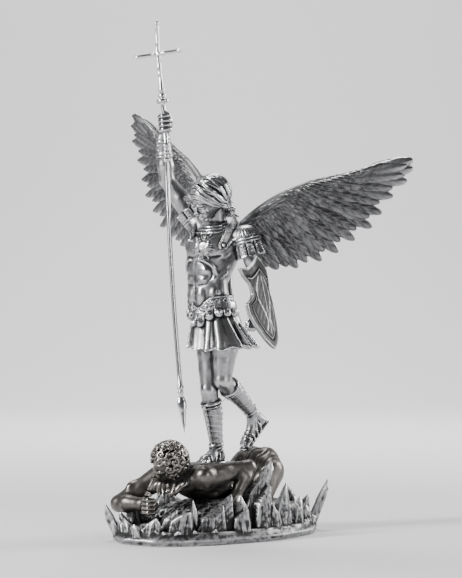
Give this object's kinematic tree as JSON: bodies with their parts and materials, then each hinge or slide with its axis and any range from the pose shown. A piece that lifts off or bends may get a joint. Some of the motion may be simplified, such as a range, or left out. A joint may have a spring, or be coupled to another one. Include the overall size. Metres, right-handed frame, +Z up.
{
  "type": "archangel michael statue",
  "caption": "Winged armoured angel with raised cross-topped lance and notched shield, standing on a prone demon on an oval rock base.",
  "frame": {"origin": "centre of the oval base's underside, on the surface it stands on", "axes": "+Z up; the angel faces -Y along the long axis of the oval base, and +X is at its left hand, on the shield's side"},
  "size_m": [0.2244, 0.1815, 0.371],
  "materials": {
    "rock_silver": "antique silver over dark patina, rough and dry-brushed on the rock edges",
    "figure_silver": "antique silver over dark patina, polished on the raised forms",
    "wing_silver": "antique silver over dark patina, brighter on the feather edges",
    "shield_silver": "antique silver over dark patina",
    "lance_silver": "smooth bright silver with dark rings"
  },
  "bodies": {
    "root": {"base_with_demon": "rock_silver", "archangel": "figure_silver", "left_wing": "wing_silver", "right_wing": "wing_silver", "shield": "shield_silver", "spear": "lance_silver"}
  },
  "joints": []
}
